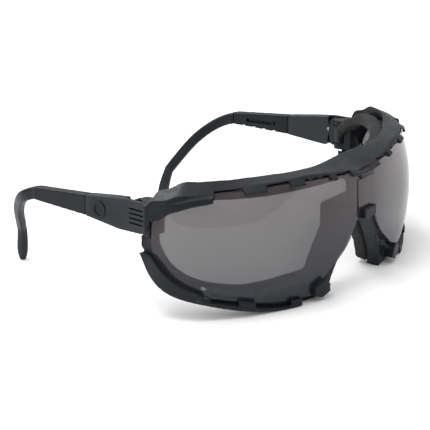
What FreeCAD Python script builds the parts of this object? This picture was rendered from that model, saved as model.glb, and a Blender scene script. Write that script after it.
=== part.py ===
import FreeCAD, Part
import math
import os

# Foam-lined safety glasses: one wrap-around lens under a brow frame, a foam gasket on a
# carrier behind it, and two temples that fold, tilt and change length.
# Millimetres. +X is the wearer's left, the front faces -Y, +Z is up. The glasses stand open
# on the carrier's lower rim and the two temple tips. Everything is symmetric about X = 0,
# so each side piece is built for the wearer's right (-X) and mirrored.
# The front is described round an upright elliptic wrap: t is the angle from the middle,
# r the distance outside the ellipse, z the height in the glasses' own upright frame.

V = FreeCAD.Vector
UP = V(0, 0, 1)

# --- overall
wrap_half_width = 70.0      # half width of the wrap ellipse at the hinges
wrap_depth = 54.0           # from the ellipse's middle forward to the front
wrap_centre_y = 37.5        # where the ellipse is widest
lens_mid_z = 30.0           # height of the lens's widest belt
lens_bulge = 5.4            # how far that belt stands outside the ellipse at the sides
lens_belt_radius = 62.0     # upright radius of the lens
stand_lean = 2.9            # degrees the glasses lean back when they stand on rim and tips
bar_back_y = -11.5          # back of the bar between the eyes
bar_low_z = 38.5
bar_high_z = 47.6
brow_solid_y = 28.6         # the brow is solid behind and above these
brow_solid_z = 33.8
rest_flat = 0.3             # depth of the flat that rim and tips stand on

# --- lens
lens_thickness = 2.2
facet_proud = 0.35          # flat raised strip down the lens's middle
facet_limit = 4.6
seat_gap = 0.15             # all round a piece that is seated in the front
lens_in_brow = 1.2          # how far the lens reaches up into the brow

# --- brow frame
vent_depth = 1.8            # pocket over the lens's top edge behind each vent
vent_height = 2.0           # vent slots between brow and lens
ear_height = 2.8            # each hinge ear of the brow
hinge_top_z = 46.4
hinge_bottom_z = 34.2

lug_top = 5.6               # half width of the middle lug, top and foot
lug_foot = 3.8
lug_proud = 1.0

# --- gasket carrier and foam
foam_depth = 5.0
rim_proud = 2.0             # how far the lower rim stands in front of the lens
clip_proud = 2.2            # lens clips and bridge clip in front of the lens
clip_half_width = 3.9       # bridge clip
groove_depth = 5.0          # vent groove behind the lens's lower edge
nose_wall = 3.2             # carrier wall each side of the nose
foam_overhang = 1.0         # foam past the carrier on the nose side

# --- hinge
hinge_x = 67.5              # middle of the temple at the hinge
hinge_y = 37.0
temple_toe_in = 3.8         # degrees the temple runs inward
pin_s = -1.0                # hinge pin, along and across the temple
pin_m = -3.4
post_start_s = -7.6         # the post in the brow's end that joins both ears
post_end_s = -4.2
post_outer_m = 2.6
hinge_pin_radius = 0.9
knuckle_radius = 2.4
running_clearance = 0.05
body_gap = 0.35             # between pieces that move past each other

# --- temple
temple_thickness = 4.0
housing_end_s = 24.6
sleeve_end_s = 52.0
tilt_s = 5.0                # tilt pin
tilt_z = 41.0
tilt_pin_radius = 0.8
comb_radius = 10.2           # front edge of the housing, about the tilt pin
finger_count = 5
finger_slot = 0.6
tongue_radius = 3.0
tongue_thickness = 1.2
emblem_s = 17.8
emblem_z = 39.4
emblem_radius = 3.3
bar_height = 3.2            # the arm's bar inside the sleeve
bar_thickness = 1.6
bar_start_s = 28.3
slide_gap = 0.1
stud_s = 32.3
notch_first_s = 31.0
seam_width = 0.5            # groove between housing and sleeve
seam_depth = 0.45
detent_s = 40.0             # front end of the length detent's leaf
detent_length = 7.0
detent_rise = 0.75          # leaf above the bar at its lower end
tilt_pin_end_m = 1.4
comb_inner_m = 0.5          # inner face of the comb's wall
tongue_middle_m = -0.3
block_inner_m = -3.8
block_outer_m = 0.3
inner_wall_s = 4.6          # front edge of the housing's inner wall at the tilt pin
emblem_depth = 0.7
length_travel = 12.0
notch_pitch = 5.0


def lerp_table(table, value):
    """The value between the two nearest rows of a table of (position, value) pairs."""
    if value <= table[0][0]:
        return table[0][1]
    for (a, low), (b, high) in zip(table, table[1:]):
        if value <= b:
            part = (value - a) / (b - a)
            ease = part * part * (3.0 - 2.0 * part)
            return low + (high - low) * ease
    return table[-1][1]


def bulge_share(t):
    return lerp_table([(0, 0.2), (12, 0.22), (48, 1.0), (66, 1.0), (80, 0.5), (90, 0.2)], abs(t))


def lens_r(t, z):
    """How far the lens's front surface stands outside the ellipse."""
    drop = (z - lens_mid_z) ** 2 / (2.0 * lens_belt_radius)
    return bulge_share(t) * (lens_bulge - drop)


def wrap_point(t, r, z):
    a = math.radians(t)
    x = wrap_half_width * math.sin(a)
    y = wrap_centre_y - wrap_depth * math.cos(a)
    normal = V(math.sin(a) / wrap_half_width, -math.cos(a) / wrap_depth, 0)
    normal.normalize()
    return V(x, y, z) + normal * r


def polygon(points):
    return Part.makePolygon(list(points) + [points[0]])


def closed_wire(curves):
    """One closed wire of curves, each given by its points and joined end to end."""
    edges = []
    for points in curves:
        if len(points) == 2:
            edges.append(Part.LineSegment(points[0], points[1]).toShape())
        else:
            spline = Part.BSplineCurve()
            spline.interpolate(points)
            edges.append(spline.toShape())
    return Part.Wire(edges)


def band(stations, section):
    """A solid lofted along the wrap through section(t), a closed list of (r, z)."""
    wires = []
    for t in stations:
        wires.append(polygon([wrap_point(t, r, z) for r, z in section(t)]))
    return Part.makeLoft(wires, True, False)


def both_ways(stations):
    return [-t for t in reversed(stations) if t > 0] + list(stations)


def lens_shell(front, back, low, high, limit):
    """The wrap shell between two offsets of the lens's front surface."""
    wires = []
    steps = 16
    for i in range(steps + 1):
        t = limit * (2.0 * i / steps - 1.0)
        heights = [low + (high - low) * k / 4.0 for k in range(5)]
        outer = [wrap_point(t, lens_r(t, z) + front, z) for z in heights]
        if isinstance(back, tuple):
            inner = [wrap_point(t, back[0], z) for z in reversed(heights)]
        else:
            inner = [wrap_point(t, lens_r(t, z) + back, z) for z in reversed(heights)]
        wires.append(closed_wire([
            outer, [outer[-1], inner[0]], inner, [inner[-1], outer[0]],
        ]))
    return Part.makeLoft(wires, True, False)


def side_prism(curves):
    """A prism along X of a side outline, its points as (y, z)."""
    half = wrap_half_width + 30.0
    lines = [[V(-half, y, z) for y, z in points] for points in curves]
    return Part.Face(closed_wire(lines)).extrude(V(2 * half, 0, 0))


def front_prism(curves, y_low=-40.0, y_high=20.0):
    """A prism along Y of a front outline, its points as (x, z)."""
    lines = [[V(x, y_low, z) for x, z in points] for points in curves]
    return Part.Face(closed_wire(lines)).extrude(V(0, y_high - y_low, 0))


def mirrored(shape):
    return shape.mirror(V(0, 0, 0), V(1, 0, 0))


# --- outlines of the front, as seen from the side (y, z)
FAR_FRONT = -45.0
HIGH = 75.0
LENS_LOW = [(-14.0, 9.0), (-9.3, 9.1), (-1.7, 11.0), (5.5, 12.9), (14.0, 15.8), (20.9, 19.7),
            (25.6, 23.6), (28.2, 28.5), (28.8, 36.0)]
RIM_LOW = [(-14.0, 6.2), (-9.3, 6.2), (0.3, 8.4), (10.6, 11.7), (21.1, 15.0), (27.9, 19.7),
           (31.7, 25.1), (33.0, 27.6)]
CARRIER_BACK_Y = 35.0


def under_outline(low, back_y, raised=0.0, grow=0.0):
    """The side outline of everything above a lower edge and in front of back_y."""
    curve = [(y + grow, z + raised - grow) for y, z in low]
    start = (FAR_FRONT, curve[0][1])
    corner = (curve[-1][0], HIGH) if back_y is None else (back_y + grow, HIGH)
    lines = [[start, curve[0]], curve]
    if back_y is not None:
        lines.append([curve[-1], (back_y + grow, curve[-1][1] + 2.0)])
        lines.append([(back_y + grow, curve[-1][1] + 2.0), corner])
    else:
        lines.append([curve[-1], corner])
    lines.append([corner, (FAR_FRONT, HIGH)])
    lines.append([(FAR_FRONT, HIGH), start])
    return lines


# --- outlines over the nose, as seen from the front (x, z), right half from the bottom up
LENS_NOSE = [(27.5, 9.0), (24.4, 13.6), (20.8, 17.0), (14.8, 21.4), (10.8, 25.4), (7.8, 30.0),
             (4.6, 33.9), (0.0, 35.2)]
CARRIER_NOSE = [(18.0, 5.0), (16.8, 12.0), (13.4, 19.0), (9.4, 25.5), (5.4, 31.0), (0.0, 34.0)]


def nose_outline(line, grow=0.0):
    """The closed notch under a nose line, grown outward by a wall."""
    right = []
    for (x, z), (before_x, before_z) in zip(line[1:], line):
        run = math.hypot(before_x - x, z - before_z)
        right.append((x + grow * (z - before_z) / run, z + grow * (before_x - x) / run))
    right = [(line[0][0] + grow, line[0][1])] + right
    right[-1] = (0.0, line[-1][1] + grow)
    left = [(-x, z) for x, z in reversed(right)]
    foot = (right[0][0] + 2.0, -20.0)
    return [
        right + left[1:],
        [left[-1], (-foot[0], foot[1])],
        [(-foot[0], foot[1]), foot],
        [foot, right[0]],
    ]


# --- the eye opening, seen along a line 45 degrees outward: (across, z)
EYE_LOW = [(9.0, 13.4), (23.0, 13.6), (34.7, 12.7), (46.0, 14.0), (55.5, 16.5), (61.8, 20.3),
           (65.8, 26.5), (67.3, 34.5), (66.2, 41.0), (61.0, 46.6), (50.0, 49.6)]
EYE_NOTCHES = [(50.0, 53.6, 13.4), (29.6, 33.6, 10.8)]
EYE_TOP_Z = 50.0
EYE_INNER_W = -17.0


def eye_prism(shrink, notches):
    """The opening of the +X eye as a prism along the 45 degree line."""
    points = [(w, z + shrink * (1.0 if z < 30 else -1.0)) for w, z in EYE_LOW]
    points = [(w - shrink if w > 60 else w, z) for w, z in points]
    top = EYE_TOP_Z - shrink
    curves = [
        [(EYE_INNER_W, points[0][1]), points[0]],
        points,
        [points[-1], (EYE_INNER_W, top)],
        [(EYE_INNER_W, top), (EYE_INNER_W, points[0][1])],
    ]
    across = V(1, 1, 0).normalize()
    outward = V(1, -1, 0).normalize()
    lines = []
    for points in curves:
        lines.append([across * w + UP * z + outward * 10.0 for w, z in points])
    prism = Part.Face(closed_wire(lines)).extrude(outward * 90.0)
    for low_w, high_w, depth in notches:
        corners = [(low_w, 15.5), (low_w + 0.8, depth), (high_w - 0.8, depth), (high_w, 15.5)]
        notch = polygon([across * w + UP * z + outward * 10.0 for w, z in corners])
        prism = prism.fuse(Part.Face(notch).extrude(outward * 90.0))
    return prism


def eye_plugs(line, wall, shrink, bar, notches=()):
    """Both eye openings, stopped at the nose wall and at the bar between the eyes."""
    plug = eye_prism(shrink, notches)
    plug = plug.cut(front_prism(nose_outline(line, wall)))
    wedge = polygon([V(-60, -60, -30), V(bar[0], -60, -30), V(bar[0], -60, 36.0),
                     V(bar[1], -60, 60.0), V(-60, -60, 60.0)])
    plug = plug.cut(Part.Face(wedge).extrude(V(0, 160, 0)))
    return plug.fuse(mirrored(plug))


# --- front pieces
def brow_section(t):
    a = abs(t)
    top = lerp_table(BROW_TOP, a)
    bottom = lerp_table(BROW_BOTTOM, a)
    back = lerp_table(BROW_BACK_R, a)
    lean = lerp_table(BROW_FRONT_LEAN, a)
    back_top = lerp_table(BROW_BACK_TOP, a)
    drop = lerp_table(BROW_BACK_DROP, a)
    front = lens_r(t, bottom) + lerp_table(BROW_LIP, a)
    return [
        (front, bottom), (front, bottom + 0.7), (front - lean, top),
        (back, back_top), (back, back_top - drop), (back + 1.5, back_top - drop - 0.2),
        (front - 2.0, bottom - 0.1),
    ]


BROW_TOP = [(0, 51.6), (6, 52.3), (14, 54.0), (24, 55.2), (40, 54.8), (52, 53.8), (60, 53.0),
            (69, 51.9), (78, 49.0), (86, 46.0), (90, 45.6)]
BROW_BOTTOM = [(0, 50.0), (10, 50.6), (20, 51.8), (33, 52.4), (45, 52.0), (56, 51.4),
               (68, 49.4), (72, 47.6), (77.9, 44.0), (82.7, 38.7), (86, 35.0), (90, 34.2)]
BROW_BACK_R = [(0, -10.5), (24, -6.6), (40, -6.6), (50, -5.2), (60, -3.9), (90, -3.9)]
BROW_FRONT_LEAN = [(0, 2.2), (50, 2.8), (66, 0.8), (74, 0.3), (90, 0.2)]
BROW_BACK_TOP = [(0, 55.6), (60, 55.8), (69, 55.2), (78, 51.8), (86, 47.0), (90, 46.2)]
BROW_BACK_DROP = [(0, 5.0), (50, 4.0), (60, 3.8), (70, 4.4), (80, 7.4), (86, 11.0), (90, 11.6)]
BROW_LIP = [(0, 1.3), (74, 1.3), (82, 0.4), (90, -0.4)]
BROW_STATIONS = [0, 5, 10, 16, 24, 33, 42, 51, 59, 65, 70, 75, 79, 82, 84.6]
LIP_BOTTOM = [(58.5, 49.8), (64.6, 48.4), (68.1, 47.3), (72.1, 45.6), (77.9, 42.3), (80.4, 41.0)]
LIP_TOP = [(58.5, 52.2), (64.6, 51.0), (71.5, 49.4), (80.4, 44.0)]


def lip_section(t):
    """The raised side lip that holds the lens under the brow."""
    bottom = lerp_table(LIP_BOTTOM, abs(t))
    top = lerp_table(LIP_TOP, abs(t))
    face = lens_r(t, bottom)
    proud = lerp_table([(58.5, 2.2), (72, 1.9), (80.4, 0.8)], abs(t))
    return [(face + 0.2, bottom), (face + proud - 0.4, bottom), (face + proud, bottom + 0.5),
            (face + proud - 0.6, top), (face - 1.0, top)]


def make_brow():
    """The brow frame: a cap over the lens and carrier, with ears for the hinge pins."""
    brow = band(both_ways(BROW_STATIONS), brow_section)
    lip = band([58.5, 62, 66, 70, 74, 77.5, 80.4], lip_section)
    brow = brow.fuse(lip).fuse(mirrored(lip))
    brow = brow.fuse(centre_lug())
    brow = brow.cut(band(both_ways(BROW_STATIONS), brow_cavity_section))
    ears = hinge_ears()
    brow = brow.fuse(ears).fuse(mirrored(ears))
    room = knuckle_room()
    brow = brow.cut(room).cut(mirrored(room))
    vents = [(7.6, 14.4), (17.2, 27.0), (32.4, 40.6), (48.0, 58.2)]
    for low, high in vents:
        slot = band([low, (low + high) / 2.0, high], vent_section)
        brow = brow.cut(slot).cut(mirrored(slot))
    return brow


def centre_lug():
    """The tapered lug in the middle of the brow that laps over the lens."""
    outline = [V(-lug_top, -40, 51.0), V(lug_top, -40, 51.0), V(lug_foot, -40, 48.3),
               V(-lug_foot, -40, 48.3)]
    prism = Part.Face(polygon(outline)).extrude(V(0, 40, 0))
    return prism.common(lens_shell(lug_proud, 0.05, 46.0, 52.0, 12.0))


def hinge_ears():
    """Two ears on the right end of the brow that hold the hinge pin."""
    ears = []
    for low in (hinge_bottom_z, hinge_top_z - ear_height):
        ear = Part.makeCylinder(knuckle_radius, ear_height, V(pin_s, pin_m, low))
        web = [V(pin_s, pin_m + knuckle_radius, low), V(pin_s, pin_m - knuckle_radius, low),
               V(post_end_s, pin_m - knuckle_radius, low), V(post_end_s, post_outer_m, low)]
        ears.append(ear.fuse(Part.Face(polygon(web)).extrude(UP * ear_height)))
    height = hinge_top_z - hinge_bottom_z
    post = Part.makeBox(post_end_s - post_start_s, post_outer_m - pin_m + knuckle_radius, height,
                        V(post_start_s, pin_m - knuckle_radius, hinge_bottom_z))
    both = ears[0].fuse(ears[1]).fuse(post)
    return on_temple_line(both.cut(hinge_pin_solid(0.0)))


def hinge_pin_solid(gap):
    length = hinge_top_z - hinge_bottom_z - 0.6
    return Part.makeCylinder(hinge_pin_radius + gap, length + 2 * gap,
                             V(pin_s, pin_m, hinge_bottom_z + 0.3 - gap))


def knuckle_room():
    """The room for the hinge block's knuckle and for the housing's swing, right side."""
    low = hinge_bottom_z + ear_height - body_gap
    high = hinge_top_z - ear_height + body_gap
    room = Part.makeCylinder(knuckle_radius + body_gap, high - low, V(pin_s, pin_m, low))
    comb = tilt_disc(comb_radius + body_gap, 0.2, 9.0)
    behind = Part.makeBox(12.0, 20.0, 40.0, V(pin_s + 3.0, -10.0, 20.0))
    return on_temple_line(room.fuse(comb).fuse(behind))


def tilt_disc(radius, low_m, high_m):
    """A disc about the tilt axis, between two distances across the temple."""
    return Part.makeCylinder(radius, high_m - low_m, V(tilt_s, low_m, tilt_z), V(0, 1, 0))


def on_temple_line(shape):
    """Place a piece made in temple axes (along, outward, up) at the right hinge."""
    placed = shape.copy()
    placed.rotate(V(0, 0, 0), UP, 90.0 - temple_toe_in)
    placed.translate(V(-hinge_x, hinge_y, 0))
    return placed


def vent_section(t):
    bottom = lerp_table(BROW_BOTTOM, abs(t))
    face = lens_r(t, bottom)
    lens_top = bottom + lens_in_brow + seat_gap
    top = bottom + vent_height
    return [(face - 0.1, bottom - 1.0), (face + 4.0, bottom - 1.0), (face + 4.0, top),
            (face - vent_depth, top), (face - vent_depth, lens_top), (face - 0.1, lens_top)]


def brow_cavity_section(t):
    """The room inside the brow for the lens and the carrier."""
    a = abs(t)
    bottom = lerp_table(BROW_BOTTOM, a)
    top = bottom + lens_in_brow + seat_gap
    face = lens_r(t, bottom) + 0.05
    back = carrier_back_r(t) - seat_gap
    return [(face, bottom - 6.0), (face, top), (back, top), (back, bottom - 6.0)]


def carrier_back_r(t):
    return lerp_table(CARRIER_BACK_R, abs(t))


CARRIER_BACK_R = [(0, -7.6), (40, -6.4), (60, -5.6), (90, -5.6)]


def make_lens():
    shell = lens_shell(0.0, -lens_thickness, 2.0, 58.0, 86.0)
    body = shell.common(side_prism(under_outline(LENS_LOW, None)))
    body = body.cut(front_prism(nose_outline(LENS_NOSE)))
    body = body.cut(above_line(BROW_BOTTOM, lens_in_brow))
    facet = lens_shell(facet_proud, -0.5, 37.3, 48.2, facet_limit)
    return body.fuse(facet)


FOAM_TOP = [(0, 51.0), (20, 52.6), (40, 53.2), (50, 53.4), (60, 53.6), (69, 52.6), (78, 49.2),
            (86, 44.8), (90, 44.2)]


def above_line(table, rise=0.0):
    """Everything higher than a line round the front plus rise."""
    def section(t):
        low = lerp_table(table, abs(t)) + rise
        return [(-25.0, low), (12.0, low), (12.0, 90.0), (-25.0, 90.0)]
    return band(both_ways([0, 5, 10, 16, 24, 33, 42, 51, 59, 65, 70, 75, 79, 82, 86, 89.5]), section)


def ring_shell(front, back):
    """A shell of the front's shape between two offsets from the carrier's back face."""
    def section(t):
        base = carrier_back_r(t)
        return [(base + front, -6.0), (base + front, 62.0), (base + back, 62.0), (base + back, -6.0)]
    return band(both_ways([0, 10, 20, 30, 40, 50, 60, 68, 76, 82, 88.5]), section)


def brow_end_room():
    """The room the brow's solid ends take from the carrier and the foam."""
    room = Part.makeBox(14.0, 20.0, 30.0, V(-75.0, brow_solid_y, brow_solid_z))
    return room.fuse(mirrored(room))


def bar_room():
    """The room behind the thin bar between the eyes."""
    return Part.makeBox(26.0, 24.0, bar_high_z - bar_low_z, V(-13.0, bar_back_y, bar_low_z))


def make_carrier():
    """Gasket carrier: ring walls behind the lens, the lower rim and the lens clips."""
    shell = lens_shell(rim_proud, -14.0, -6.0, 62.0, 88.5)
    body = ring_shell(16.0, 0.0).common(shell)
    body = body.common(side_prism(under_outline(RIM_LOW, CARRIER_BACK_Y)))
    body = body.cut(above_line(BROW_BOTTOM, lens_in_brow - 0.3))
    body = body.cut(lens_shell(9.0, -1.2, -6.0, 62.0, 89.5).common(side_prism(above_rim_outline())))
    body = body.cut(front_rise(shell))
    body = body.fuse(rim_lugs())
    groove = lens_shell(-(lens_thickness + seat_gap), -groove_depth, 2.0, 40.0, 84.0)
    body = body.cut(groove.common(side_prism(strip_outline(LENS_LOW, -0.6, 1.6, 8.0))))
    seat = lens_shell(seat_gap, -(lens_thickness + seat_gap), 2.0, 58.0, 87.0)
    seat = seat.common(side_prism(under_outline(LENS_LOW, None, 0.0, seat_gap)))
    seat = seat.cut(front_prism(nose_outline(LENS_NOSE, -seat_gap)))
    body = body.cut(seat).cut(brow_end_room()).cut(bar_room())
    body = body.cut(front_prism(nose_outline(CARRIER_NOSE)))
    body = body.cut(eye_plugs(CARRIER_NOSE, nose_wall, 0.0, (3.6, 8.5), EYE_NOTCHES))
    for clip in (lens_clip(), mirrored(lens_clip()), bridge_clip()):
        body = body.fuse(clip)
    return body.cut(seat)


def front_rise(shell):
    """The rim's front, taken away where it curves up beside each lens clip."""
    outline = [[(39.0, 0.0), (39.0, 6.0)], [(39.0, 6.0), (35.5, 6.4), (32.9, 7.8), (31.2, 9.8)],
               [(31.2, 9.8), (31.2, 14.0)], [(31.2, 14.0), (12.0, 24.0)], [(12.0, 24.0), (12.0, 0.0)],
               [(12.0, 0.0), (39.0, 0.0)]]
    front = lens_shell(9.0, -lens_thickness, -6.0, 40.0, 40.0)
    cut = front.common(front_prism(outline, -45.0, 0.0))
    return cut.fuse(mirrored(cut))


def lens_clip():
    """The right hook over the lens's lower corner beside the nose."""
    base = [(29.2, 9.2), (25.6, 7.7), (21.8, 9.4), (22.2, 12.6), (24.4, 15.0), (29.2, 12.4)]
    lines = [V(x, -40.0, z) for x, z in base]
    prism = Part.Face(polygon(lines)).extrude(V(0, 45.0, 0))
    return prism.common(lens_shell(clip_proud, -6.0, 2.0, 40.0, 40.0))


def bridge_clip():
    """The hook under the lens's bridge, between the eyes."""
    base = [(-clip_half_width, 33.0), (clip_half_width, 33.0), (clip_half_width, 36.9),
            (-clip_half_width, 36.9)]
    lines = [V(x, -40.0, z) for x, z in base]
    prism = Part.Face(polygon(lines)).extrude(V(0, 45.0, 0))
    return prism.common(lens_shell(clip_proud, -7.0, 20.0, 50.0, 16.0))


def above_rim_outline():
    """The side outline of the open space above the lower rim's front edge."""
    high = [(33.6, 28.2), (27.5, 27.6), (23.6, 24.2), (17.8, 19.8), (11.4, 16.4), (7.8, 14.8)]
    vent = [(7.8, 12.2), (0.2, 10.4), (-3.5, 9.0), (-9.2, 7.4), (-14.0, 7.4)]
    return [
        [(60.0, 28.2), high[0]], high, [high[-1], vent[0]], vent,
        [vent[-1], (FAR_FRONT, vent[-1][1])], [(FAR_FRONT, vent[-1][1]), (FAR_FRONT, HIGH)],
        [(FAR_FRONT, HIGH), (60.0, HIGH)], [(60.0, HIGH), (60.0, 28.2)],
    ]


def strip_outline(low, drop, rise, y_from):
    """A side outline that follows a lower edge, from drop to rise above it."""
    near = [(y, z) for y, z in low if y > y_from]
    under = [(y, z + drop) for y, z in near]
    over = [(y - 0.8 * rise, z + rise) for y, z in reversed(near)]
    return [under, [under[-1], over[0]], over, [over[-1], under[0]]]


def rim_lugs():
    """Lugs between the lower vents that carry the lens's bottom edge."""
    lugs = None
    for low, high in ((28.4, 32.4), (44.8, 50.4)):
        block = band([low, (low + high) / 2.0, high], lug_section)
        block = block.fuse(mirrored(block))
        lugs = block if lugs is None else lugs.fuse(block)
    return lugs


def lug_section(t):
    point = wrap_point(t, 0.0, 0.0)
    edge = lerp_table([(-14.0, 9.0), (-9.3, 9.1), (-1.7, 11.0), (5.5, 12.9)], point.y)
    face = lens_r(t, edge)
    return [(face + rim_proud - 0.3, edge - 2.5), (face + rim_proud - 0.3, edge + 0.3),
            (face - 3.0, edge + 0.3), (face - 3.0, edge - 2.5)]


def make_foam():
    """Foam gasket glued to the carrier's back face."""
    foam = ring_shell(0.0, -foam_depth)
    foam = foam.common(side_prism(under_outline(RIM_LOW, CARRIER_BACK_Y - 0.6, 1.0)))
    foam = foam.cut(above_line(FOAM_TOP))
    foam = foam.cut(front_prism(nose_outline(CARRIER_NOSE, -foam_overhang)))
    foam = foam.cut(eye_plugs(CARRIER_NOSE, nose_wall, 0.6, (4.2, 9.2)))
    return foam.cut(brow_end_room()).cut(bar_room())


# --- side pieces, made in temple axes for the right side: x along, y outward, z up
HOUSING_TOP = [(-5.8, 46.3), (4.0, 46.3), (12.4, 45.3), (24.6, 43.5)]
HOUSING_LOW = [(24.6, 35.6), (17.7, 35.0), (12.7, 34.5), (7.7, 34.1), (-5.8, 34.6)]
SLEEVE_TOP_END_Z = 40.7
SLEEVE_LOW_END_Z = 35.9


def slab(outline, low_m, high_m):
    """A plate with a side outline of (along, z) points between two distances across."""
    wire = polygon([V(s, low_m, z) for s, z in outline])
    return Part.Face(wire).extrude(V(0, high_m - low_m, 0))


def make_hinge_pin():
    return hinge_pin_solid(0.0)


def make_hinge_block():
    """The block that folds on the hinge pin and carries the tilt pin in its tongue."""
    low = hinge_bottom_z + ear_height
    high = hinge_top_z - ear_height
    knuckle = Part.makeCylinder(knuckle_radius, high - low, V(pin_s, pin_m, low))
    neck = slab([(pin_s, low), (2.0, low), (2.0, high), (pin_s, high)], block_inner_m, block_outer_m)
    cheek = slab([(1.8, 35.0), (3.2, 35.6), (4.2, tilt_z), (3.2, 45.6), (1.8, 46.0)],
                 block_inner_m, block_outer_m)
    half = tongue_thickness / 2.0
    middle = tongue_middle_m
    tongue = tilt_disc(tongue_radius, middle - half, middle + half)
    arm = slab([(1.8, tilt_z - tongue_radius), (tilt_s, tilt_z - tongue_radius),
                (tilt_s, tilt_z + tongue_radius), (1.8, tilt_z + tongue_radius)],
               middle - half, middle + half)
    block = knuckle.fuse(neck).fuse(cheek).fuse(tongue).fuse(arm)
    block = block.cut(Part.makeCylinder(hinge_pin_radius + running_clearance, 20.0,
                                        V(pin_s, pin_m, 30.0)))
    return block.cut(tilt_disc(tilt_pin_radius + running_clearance, -6.0, 6.0))


def make_tilt_pin():
    return tilt_disc(tilt_pin_radius, -temple_thickness / 2.0, tilt_pin_end_m)


def make_housing():
    """The front of the temple, with the comb of fingers and the slot for the tongue."""
    half = temple_thickness / 2.0
    shell = slab(HOUSING_TOP + HOUSING_LOW, -half, half)
    front = slab([(-10, 20), (tilt_s, 20), (tilt_s, 60), (-10, 60)], -9.0, 9.0)
    shell = shell.cut(front.cut(tilt_disc(comb_radius, -9.0, 9.0)))
    inner = slab([(-10, 20), (inner_wall_s + 2.6, 30), (inner_wall_s, tilt_z),
                  (inner_wall_s + 2.6, 52), (-10, 60)], -9.0, comb_inner_m)
    shell = shell.cut(inner)
    gap = tongue_middle_m - tongue_thickness / 2.0 - 0.2
    room = tilt_disc(tongue_radius + body_gap, gap, comb_inner_m)
    shell = shell.cut(room).cut(slab([(-10, 20), (tilt_s, 20), (tilt_s, 60), (-10, 60)],
                                     gap, comb_inner_m))
    span = 9.2
    for i in range(1, finger_count):
        z = tilt_z - 0.5 + span * (i / finger_count - 0.5)
        slot = Part.makeBox(10.0, 6.0, finger_slot, V(-7.0, comb_inner_m - 0.1, z - finger_slot / 2))
        shell = shell.cut(slot)
    shell = shell.cut(make_tilt_pin())
    recess = Part.makeCylinder(emblem_radius, emblem_depth, V(emblem_s, half - emblem_depth, emblem_z),
                               V(0, 1, 0))
    return shell.cut(recess)


def make_emblem():
    """A plain round cap with a raised ring, let into the housing."""
    half = temple_thickness / 2.0
    axis = V(0, 1, 0)
    base = V(emblem_s, half - emblem_depth, emblem_z)
    cap = Part.makeCylinder(emblem_radius, emblem_depth, base, axis)
    ring = Part.makeCylinder(emblem_radius - 0.3, emblem_depth + 0.3, base, axis)
    ring = ring.cut(Part.makeCylinder(emblem_radius - 0.95, emblem_depth + 1.0, base, axis))
    return cap.fuse(ring)


def sleeve_line(s, front, end):
    return front + (end - front) * (s - housing_end_s) / (sleeve_end_s - housing_end_s)


def bar_middle_z(s):
    """Height of the arm's bar, which runs along the middle of the sleeve."""
    top = sleeve_line(s, HOUSING_TOP[-1][1], SLEEVE_TOP_END_Z)
    low = sleeve_line(s, HOUSING_LOW[0][1], SLEEVE_LOW_END_Z)
    return (top + low) / 2.0


def bar_slab(start, end, grow_z, half_m):
    """A bar along the sleeve's middle line."""
    half = bar_height / 2.0 + grow_z
    a = bar_middle_z(start)
    b = bar_middle_z(end)
    return slab([(start, a - half), (end, b - half), (end, b + half), (start, a + half)],
                -half_m, half_m)


def make_sleeve():
    """The rear of the temple: a sleeve for the arm, slotted and toothed on its inner face."""
    half = temple_thickness / 2.0
    top = HOUSING_TOP[-1][1]
    low = HOUSING_LOW[0][1]
    start = housing_end_s
    sleeve = slab([(start, low), (sleeve_end_s, SLEEVE_LOW_END_Z), (sleeve_end_s, SLEEVE_TOP_END_Z),
                   (start, top)], -half, half)
    seam = slab([(start - 1.0, low - 1.0), (start + seam_width, low - 1.0),
                 (start + seam_width, top + 1.0), (start - 1.0, top + 1.0)], -half - 1.0, half + 1.0)
    core = slab([(start - 1.0, low + seam_depth), (start + 2.0, low + seam_depth),
                 (start + 2.0, top - seam_depth - 0.3), (start - 1.0, top - seam_depth - 0.3)],
                seam_depth - half, half - seam_depth)
    sleeve = sleeve.cut(seam.cut(core))
    sleeve = sleeve.cut(bar_slab(bar_start_s - body_gap, sleeve_end_s + 1.0, slide_gap,
                                 bar_thickness / 2.0 + slide_gap))
    slot = slab([(stud_s - 1.2, bar_middle_z(stud_s - 1.2) - 0.75),
                 (stud_s + length_travel + 1.2, bar_middle_z(stud_s + length_travel + 1.2) - 0.75),
                 (stud_s + length_travel + 1.2, bar_middle_z(stud_s + length_travel + 1.2) + 0.75),
                 (stud_s - 1.2, bar_middle_z(stud_s - 1.2) + 0.75)], -half - 1.0, 0.0)
    sleeve = sleeve.cut(slot).cut(detent_solid(0.05))
    for i in range(4):
        s = notch_first_s + i * notch_pitch
        z = sleeve_line(s, low, SLEEVE_LOW_END_Z)
        bite = slab([(s, z + 0.9), (s + 0.4, z - 1.0), (s + notch_pitch - 1.2, z - 1.0)], -half - 1, -0.9)
        sleeve = sleeve.cut(bite)
    return sleeve


# the arm's middle line behind the sleeve: along, outward, up
ARM_PATH = [(52.0, -0.1, 38.3), (56.0, -0.2, 36.9), (60.5, -0.9, 34.7), (65.0, -3.4, 31.4),
            (69.0, -6.3, 27.3), (72.3, -9.4, 22.6), (75.2, -12.8, 17.6), (76.9, -14.9, 14.4)]
ARM_SIZE = [(4.0, 4.8), (3.9, 4.6), (3.7, 4.4), (3.5, 4.2), (3.3, 4.1), (3.2, 4.0), (3.1, 3.9),
            (3.0, 3.8)]
TIP_PATH = [(76.9, -14.9, 14.4), (77.7, -15.8, 11.0), (78.6, -16.5, 6.5), (79.2, -16.9, 2.5),
            (79.5, -17.1, -0.2)]
TIP_SIZE = [(3.0, 3.6), (3.0, 3.9), (3.1, 4.3), (2.7, 3.7), (1.5, 1.9)]


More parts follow.
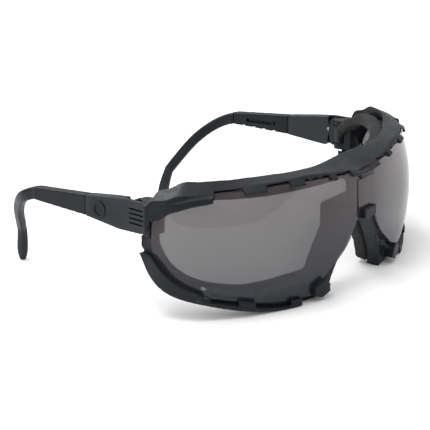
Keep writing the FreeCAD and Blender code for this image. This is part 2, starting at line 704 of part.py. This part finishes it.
def rounded_section(middle, along, thick, wide):
    """A rounded rectangle across a path: thick outward, wide the other way."""
    side = V(0, 1, 0) - along * along.y
    side.normalize()
    up = along.cross(side)
    points = []
    for i in range(16):
        a = 2.0 * math.pi * i / 16
        c = math.cos(a)
        d = math.sin(a)
        points.append(middle + side * (thick / 2.0 * math.copysign(abs(c) ** 0.55, c))
                      + up * (wide / 2.0 * math.copysign(abs(d) ** 0.55, d)))
    spline = Part.BSplineCurve()
    spline.interpolate(points, PeriodicFlag=True)
    return Part.Wire([spline.toShape()])


def swept(path, sizes, first_along, last_along=None):
    wires = []
    points = [V(*p) for p in path]
    for i, point in enumerate(points):
        ahead = points[min(i + 1, len(points) - 1)] - points[max(i - 1, 0)]
        if i == 0:
            ahead = first_along
        if i == len(points) - 1 and last_along is not None:
            ahead = last_along
        ahead = V(ahead).normalize()
        wires.append(rounded_section(point, ahead, *sizes[i]))
    return Part.makeLoft(wires, True, False)


ARM_START = V(1.0, 0.0, -0.17)
ARM_END = V(0.30, -0.42, -0.86)


def make_arm():
    """The sliding arm: a bar in the sleeve, a stud in its slot and the hook behind the ear."""
    hook = swept(ARM_PATH, ARM_SIZE, ARM_START, ARM_END)
    before = Part.makeBox(10.0, 20.0, 20.0, V(sleeve_end_s + 0.1 - 10.0, -10.0, 28.0))
    hook = hook.cut(before)
    bar = bar_slab(bar_start_s, sleeve_end_s + 3.0, 0.0, bar_thickness / 2.0)
    stud = Part.makeCylinder(0.55, temple_thickness / 2.0 + 0.2,
                             V(stud_s, -temple_thickness / 2.0 - 0.2, bar_middle_z(stud_s)), V(0, 1, 0))
    return bar.fuse(hook).fuse(stud)


def make_tip():
    """The soft paddle tip moulded on the end of the arm."""
    return swept(TIP_PATH, TIP_SIZE, ARM_END, V(0.1, -0.05, -1.0))


def detent_solid(grow):
    """A leaf in the sleeve's roof, over the bar."""
    z = bar_middle_z(detent_s + detent_length) + bar_height / 2.0 + detent_rise
    return Part.makeBox(detent_length + 2 * grow, 1.2 + 2 * grow, 0.3 + grow,
                        V(detent_s - grow, -0.6 - grow, z))


def make_detent():
    """A leaf spring over the bar that clicks the arm's length."""
    return detent_solid(0.0)


def lean(shape):
    """Turn a piece from the upright frame to the pose in which the glasses stand."""
    turned = shape.copy()
    turned.rotate(V(0, 0, 0), V(1, 0, 0), stand_lean)
    return turned


def standing(pieces):
    """Lean every piece, flatten its rest faces and put the origin under the middle."""
    leaned = {name: lean(shape) for name, shape in pieces.items()}
    box = Part.makeCompound(list(leaned.values())).optimalBoundingBox(False)
    ground = box.ZMin + rest_flat
    below = Part.makeBox(400.0, 400.0, 20.0, V(-200.0, -200.0, ground - 20.0))
    for name in ("gasket_carrier", "temple_tip_right", "temple_tip_left"):
        leaned[name] = leaned[name].cut(below)
    shift = V(0, -(box.YMin + box.YMax) / 2.0, -ground)
    for shape in leaned.values():
        shape.translate(shift)
    print("moved by", round(shift.y, 4), round(shift.z, 4))
    return leaned


def largest(shape):
    """The main solid, without the slivers a cut leaves between two skins."""
    return max(shape.Solids, key=lambda solid: solid.Volume)


def build_pieces():
    lens = make_lens()
    brow = make_brow().cut(lens)
    pieces = {
        "lens": lens,
        "brow_frame": brow,
        "gasket_carrier": make_carrier(),
        "foam_gasket": largest(make_foam().cut(brow)),
    }
    side = {
        "hinge_pin": make_hinge_pin(),
        "hinge_block": make_hinge_block(),
        "tilt_pin": make_tilt_pin(),
        "temple_housing": make_housing(),
        "emblem_cap": make_emblem(),
        "temple_sleeve": make_sleeve(),
        "temple_arm": make_arm(),
        "temple_tip": make_tip(),
        "length_detent": make_detent(),
    }
    for name, shape in side.items():
        placed = on_temple_line(shape)
        pieces[name + "_right"] = placed
        pieces[name + "_left"] = mirrored(placed)
    return pieces


def main():
    os.makedirs("parts", exist_ok=True)
    for name, shape in standing(build_pieces()).items():
        shape.exportStep("parts/" + name + ".step")
        print(name, len(shape.Solids), round(shape.Volume, 1), shape.isValid())


main()
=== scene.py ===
"""Looks, light and camera for the wrap-around safety glasses."""

import bpy
from mathutils import Matrix, Vector, noise


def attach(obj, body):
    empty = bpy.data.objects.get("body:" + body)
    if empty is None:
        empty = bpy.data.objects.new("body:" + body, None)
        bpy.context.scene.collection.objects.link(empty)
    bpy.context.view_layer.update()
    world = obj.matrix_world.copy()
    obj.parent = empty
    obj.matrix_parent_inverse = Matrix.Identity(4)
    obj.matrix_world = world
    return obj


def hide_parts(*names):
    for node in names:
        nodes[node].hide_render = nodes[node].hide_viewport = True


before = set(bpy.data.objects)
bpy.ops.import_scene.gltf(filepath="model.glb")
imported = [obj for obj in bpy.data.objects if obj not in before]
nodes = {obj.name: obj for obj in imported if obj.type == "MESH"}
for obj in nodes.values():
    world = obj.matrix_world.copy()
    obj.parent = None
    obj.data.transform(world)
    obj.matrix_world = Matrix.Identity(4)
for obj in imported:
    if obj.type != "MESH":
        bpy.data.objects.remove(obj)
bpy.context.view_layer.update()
SIDES = ("right", "left")

# --- camera and light
CAMERA_AT = Vector((-0.5582, -0.42033, 0.23318))
CAMERA_TO = Vector((-0.0712, -0.04996, 0.04348))
CAMERA_UP = Vector((0.0, -0.0506, 0.99872))
CAMERA_LENS_MM = 154.68
CAMERA_SENSOR_MM = 36.0
CAMERA_CLIP_M = 0.01
FLOOR_HALF_M = 3.0
FLOOR_WHITE = (0.95, 0.95, 0.95, 1.0)
SKY_LOW = -0.05             # height on the unit sphere where the sky starts to brighten
SKY_HIGH = 0.75
SKY_LOW_STRENGTH = 0.35
SKY_HIGH_STRENGTH = 1.2
LAMP_AIM = Vector((0.0, 0.0, 0.03))
LAMP_SIZE_M = 0.5
LAMPS = {"key": ((-0.35, 0.1, 1.0), 4.0), "back": ((0.3, 0.9, 0.8), 3.0)}


def turned_to(at, to, up):
    """The matrix of a camera or lamp at one point that looks at another."""
    back = (at - to).normalized()
    right = up.cross(back).normalized()
    above = back.cross(right)
    turn = Matrix((right, above, back)).transposed()
    return Matrix.Translation(at) @ turn.to_4x4()


def placed(name, data, at, to, up=Vector((0.0, 0.0, 1.0))):
    """A camera or lamp object, turned to look at a point."""
    item = bpy.data.objects.new(name, data)
    bpy.context.scene.collection.objects.link(item)
    item.matrix_world = turned_to(at, to, up)
    return item


def make_camera():
    data = bpy.data.cameras.new("camera")
    data.sensor_width = CAMERA_SENSOR_MM
    data.lens = CAMERA_LENS_MM
    data.clip_start = CAMERA_CLIP_M
    bpy.context.scene.camera = placed("camera", data, CAMERA_AT, CAMERA_TO, CAMERA_UP)


def make_lamp(name, at, watts):
    """A round white soft light over the glasses."""
    data = bpy.data.lights.new(name, "AREA")
    data.shape = "DISK"
    data.size = LAMP_SIZE_M
    data.energy = watts
    placed(name, data, Vector(at), LAMP_AIM)


def make_sky():
    """White surroundings, brighter overhead."""
    world = bpy.data.worlds.new("studio")
    world.use_nodes = True
    tree = world.node_tree
    background = tree.nodes["Background"]
    background.inputs["Color"].default_value = (1.0, 1.0, 1.0, 1.0)
    split = tree.nodes.new("ShaderNodeSeparateXYZ")
    tree.links.new(tree.nodes.new("ShaderNodeTexCoord").outputs["Generated"], split.inputs[0])
    rise = tree.nodes.new("ShaderNodeMapRange")
    rise.inputs["From Min"].default_value = SKY_LOW
    rise.inputs["From Max"].default_value = SKY_HIGH
    rise.inputs["To Min"].default_value = SKY_LOW_STRENGTH
    rise.inputs["To Max"].default_value = SKY_HIGH_STRENGTH
    tree.links.new(split.outputs["Z"], rise.inputs["Value"])
    tree.links.new(rise.outputs["Result"], background.inputs["Strength"])
    bpy.context.scene.world = world


def make_floor():
    mesh = bpy.data.meshes.new("floor")
    h = FLOOR_HALF_M
    mesh.from_pydata([(-h, -h, 0), (h, -h, 0), (h, h, 0), (-h, h, 0)], [], [(0, 1, 2, 3)])
    floor = bpy.data.objects.new("floor", mesh)
    bpy.context.scene.collection.objects.link(floor)
    pale = bpy.data.materials.new("pale_floor")
    pale.use_nodes = True
    shader = pale.node_tree.nodes["Principled BSDF"]
    shader.inputs["Base Color"].default_value = FLOOR_WHITE
    shader.inputs["Roughness"].default_value = 0.9
    shader.inputs["Specular IOR Level"].default_value = 0.1
    mesh.materials.append(pale)


def make_stage():
    make_sky()
    bpy.context.scene.view_settings.view_transform = "Standard"
    make_floor()
    for name, (at, watts) in LAMPS.items():
        make_lamp(name, at, watts)


# --- materials
# lens colour: lighter and warmer at the top, darker and bluer low down; the darkening is
# painted shade for the shadowed floor seen through the lens
LENS_TOP_TINT = (0.062, 0.047, 0.050)
LENS_LOW_TINT_PAINTED_SHADE = (0.026, 0.030, 0.041)
LENS_PAINTED_SHADE_LOW_M = 0.008     # heights between which the tint changes; the lens is painted darker towards the bottom as painted shade
LENS_PAINTED_SHADE_HIGH_M = 0.044
LENS_CLEAR_ALPHA = 0.66
LENS_EDGE_ALPHA = 0.9
PLASTIC_BLOTCH = 90.0       # noise scales, in cycles per metre
PLASTIC_GRAIN = 2600.0
PLASTIC_SCUFF = 420.0
PLASTIC_GRAIN_DEPTH_M = 0.00008
WORN_FROM = 0.53            # pointiness where an edge starts to look worn
WORN_FULL = 0.62
WORN_SHARE = 0.5
FOAM_CELLS = 1900.0
FOAM_BLOTCH = 160.0
FOAM_CELL_DEPTH_M = 0.0003
FOAM_DARK = (0.009, 0.0085, 0.0085)
FOAM_LIGHT = (0.021, 0.0195, 0.019)
STEEL_DARK = (0.3, 0.3, 0.31)
STEEL_LIGHT = (0.45, 0.45, 0.46)


class Graph:
    """A short way to write a material's nodes."""

    def __init__(self, name):
        self.material = bpy.data.materials.new(name)
        self.material.use_nodes = True
        self.tree = self.material.node_tree
        self.shader = self.tree.nodes["Principled BSDF"]

    def node(self, kind, **inputs):
        made = self.tree.nodes.new(kind)
        for key, value in inputs.items():
            self.put(made.inputs[key.replace("_", " ")], value)
        return made

    def put(self, socket, value):
        if isinstance(value, bpy.types.NodeSocket):
            self.tree.links.new(value, socket)
        else:
            socket.default_value = value

    def set(self, **inputs):
        for key, value in inputs.items():
            self.put(self.shader.inputs[key.replace("_", " ")], value)

    def where(self):
        """Object coordinates, in metres."""
        return self.node("ShaderNodeTexCoord").outputs["Object"]

    def noise(self, where, scale, detail=3.0, roughness=0.5):
        made = self.node("ShaderNodeTexNoise", Vector=where, Scale=scale, Detail=detail,
                         Roughness=roughness)
        return made.outputs["Fac"]

    def ramp(self, factor, low, high, colours):
        made = self.node("ShaderNodeValToRGB", Fac=factor)
        ends = made.color_ramp.elements
        ends[0].position = low
        ends[1].position = high
        for end, colour in zip(ends, colours):
            end.color = (*colour, 1.0)
        return made.outputs["Color"]

    def between(self, value, start, end, low=0.0, high=1.0):
        """The value's way from start to end, as a number from low to high."""
        made = self.node("ShaderNodeMapRange", Value=value)
        made.inputs["From Min"].default_value = start
        made.inputs["From Max"].default_value = end
        made.inputs["To Min"].default_value = low
        made.inputs["To Max"].default_value = high
        return made.outputs["Result"]

    def spread(self, factor, low, high):
        """A noise, whose values are mostly 0.3 to 0.7, as a number from low to high."""
        return self.between(factor, 0.3, 0.7, low, high)

    def mix(self, factor, one, other):
        made = self.node("ShaderNodeMix")
        made.data_type = "RGBA"
        self.put(made.inputs[0], factor)
        self.put(made.inputs[6], one)
        self.put(made.inputs[7], other)
        return made.outputs[2]

    def bump(self, height, strength, distance):
        made = self.node("ShaderNodeBump", Height=height, Strength=strength, Distance=distance)
        return made.outputs["Normal"]


def moulded_plastic(name, dark, light, worn, rough, grain):
    """Moulded satin plastic: fine spark-eroded grain, soft blotches, paler worn edges."""
    g = Graph(name)
    where = g.where()
    blotch = g.noise(where, PLASTIC_BLOTCH, 4.0)
    fine = g.noise(where, PLASTIC_GRAIN, 2.0)
    scuff = g.noise(where, PLASTIC_SCUFF, 5.0, 0.6)
    body = g.ramp(blotch, 0.35, 0.68, (dark, light))
    edge = g.node("ShaderNodeNewGeometry").outputs["Pointiness"]
    worn_share = g.between(edge, WORN_FROM, WORN_FULL, 0.0, WORN_SHARE)
    g.set(Base_Color=g.mix(worn_share, body, (*worn, 1.0)),
          Roughness=g.spread(scuff, rough - 0.06, rough + 0.08),
          Normal=g.bump(fine, grain, PLASTIC_GRAIN_DEPTH_M))
    g.set(IOR=1.46, Specular_IOR_Level=0.24)
    return g.material


def tinted_lens_with_painted_shade(name):
    """Hard-coated grey tint: warmer at the top, and denser where it is seen edge-on. Lower
    down it is darker and bluer, a painted shade for the shadowed floor seen through the lens.
    """
    g = Graph(name)
    where = g.where()
    height = g.node("ShaderNodeSeparateXYZ", Vector=where).outputs["Z"]
    # painted shade: the colour darkens from the top of the lens down to its bottom
    rise = g.between(height, LENS_PAINTED_SHADE_LOW_M, LENS_PAINTED_SHADE_HIGH_M)
    tint_and_painted_shade = g.ramp(rise, 0.0, 1.0, (LENS_LOW_TINT_PAINTED_SHADE, LENS_TOP_TINT))
    drift = g.spread(g.noise(where, 40.0, 2.0), 0.9, 1.08)
    shade = g.node("ShaderNodeVectorMath", Vector=tint_and_painted_shade)
    shade.operation = "SCALE"
    g.put(shade.inputs["Scale"], drift)
    facing = g.node("ShaderNodeLayerWeight").outputs["Facing"]
    dense = g.between(facing, 0.25, 0.8, LENS_CLEAR_ALPHA, LENS_EDGE_ALPHA)
    g.set(Base_Color=shade.outputs["Vector"], Alpha=dense)
    g.set(IOR=1.5, Roughness=0.03)
    return g.material


def steel(name):
    """Bright drawn steel, for the pins and the length leaf."""
    g = Graph(name)
    where = g.where()
    g.set(Base_Color=g.ramp(g.noise(where, 900.0, 3.0), 0.3, 0.7, (STEEL_DARK, STEEL_LIGHT)),
          Roughness=g.spread(g.noise(where, 1500.0, 2.0), 0.28, 0.42))
    g.set(Metallic=1.0)
    return g.material


def foam_material(name):
    """Dark open-cell foam."""
    g = Graph(name)
    where = g.where()
    cells = g.node("ShaderNodeTexVoronoi", Vector=where, Scale=FOAM_CELLS).outputs["Distance"]
    blotch = g.noise(where, FOAM_BLOTCH, 4.0)
    colour = g.ramp(blotch, 0.3, 0.7, (FOAM_DARK, FOAM_LIGHT))
    g.set(Base_Color=colour, Roughness=0.95, Normal=g.bump(cells, 0.8, FOAM_CELL_DEPTH_M))
    g.set(Sheen_Weight=0.03, Sheen_Roughness=0.6)
    return g.material


WORN_PLASTIC = (0.04, 0.046, 0.054)
WORN_RUBBER = (0.04, 0.045, 0.052)
FRONT = moulded_plastic("front_satin", (0.005, 0.0065, 0.0095), (0.009, 0.011, 0.0150),
                        WORN_PLASTIC, 0.4, 0.25)
TEMPLE = moulded_plastic("temple_satin", (0.0055, 0.007, 0.010), (0.0095, 0.0115, 0.0155),
                         WORN_PLASTIC, 0.42, 0.3)
SOFT = moulded_plastic("tip_rubber", (0.012, 0.0145, 0.0175), (0.018, 0.021, 0.026),
                       WORN_RUBBER, 0.55, 0.4)
FINISH = {
    "brow_frame": FRONT,
    "gasket_carrier": FRONT,
    "lens": tinted_lens_with_painted_shade("lens_tint_painted_shade"),
}
STEEL = steel("pin_steel")
SIDE_FINISH = {
    "hinge_block": TEMPLE,
    "hinge_pin": STEEL,
    "tilt_pin": STEEL,
    "temple_housing": TEMPLE,
    "emblem_cap": TEMPLE,
    "temple_sleeve": TEMPLE,
    "temple_arm": TEMPLE,
    "temple_tip": SOFT,
    "length_detent": STEEL,
}
for part, finish in SIDE_FINISH.items():
    for side in SIDES:
        FINISH[f"{part}_{side}"] = finish


def paint(item, material):
    item.data.materials.clear()
    item.data.materials.append(material)


def eased_copy(name, source, voxel, factor, rounds):
    """A copy of a CAD piece, remeshed in even cells and smoothed so that its edges soften."""
    piece = bpy.data.objects.new(name, source.data.copy())
    bpy.context.scene.collection.objects.link(piece)
    remesh = piece.modifiers.new("even", "REMESH")
    remesh.mode = "VOXEL"
    remesh.voxel_size = voxel
    smooth = piece.modifiers.new("ease", "SMOOTH")
    smooth.factor = factor
    smooth.iterations = rounds
    bpy.context.view_layer.update()
    shaped = bpy.data.meshes.new_from_object(
        piece.evaluated_get(bpy.context.evaluated_depsgraph_get()))
    piece.modifiers.clear()
    piece.data = shaped
    return piece


# --- moulded pieces: the CAD piece again with softened, moulded edges
FRONT_VOXEL_M = 0.0003
SLEEVE_VOXEL_M = 0.00025
MOULD_FACTOR = 0.5
MOULD_ROUNDS = 3
MOULDED = {
    "brow_frame": ("front", "front_plastic", FRONT_VOXEL_M),
    "gasket_carrier": ("front", "front_plastic", FRONT_VOXEL_M),
}
for side in SIDES:
    MOULDED["temple_sleeve_" + side] = ("temple_" + side, "temple_plastic", SLEEVE_VOXEL_M)


def make_moulded(name, body, voxel):
    """A piece whose edges are eased as a mould leaves them, in place of the CAD solid."""
    piece = eased_copy(name + "_moulded", nodes[name], voxel, MOULD_FACTOR, MOULD_ROUNDS)
    piece.data.shade_smooth()
    paint(piece, FINISH[name])
    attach(piece, body)
    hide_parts(name)


# --- foam
FOAM_VOXEL_M = 0.0006
FOAM_FACTOR = 0.6
FOAM_ROUNDS = 4
FOAM_SINK_M = 0.0001        # the skin lies this far inside, so that its lumps don't stand out
FOAM_LUMPS = ((420.0, 0.00012), (1500.0, 0.00006))      # scale, height in metres


def make_foam():
    """The foam round both eyes: softened edges and an open-cell skin."""
    foam = eased_copy("foam_pad", nodes["foam_gasket"], FOAM_VOXEL_M, FOAM_FACTOR, FOAM_ROUNDS)
    for v in foam.data.vertices:
        lump = sum(noise.noise(v.co * scale) * height for scale, height in FOAM_LUMPS)
        v.co += v.normal * (lump - FOAM_SINK_M)
    foam.data.shade_smooth()
    paint(foam, foam_material("foam_cells"))
    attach(foam, "front")
    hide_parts("foam_gasket")


make_camera()
make_stage()
for name, finish in FINISH.items():
    paint(nodes[name], finish)
for name, (body, slot, voxel) in MOULDED.items():
    make_moulded(name, body, voxel)
make_foam()
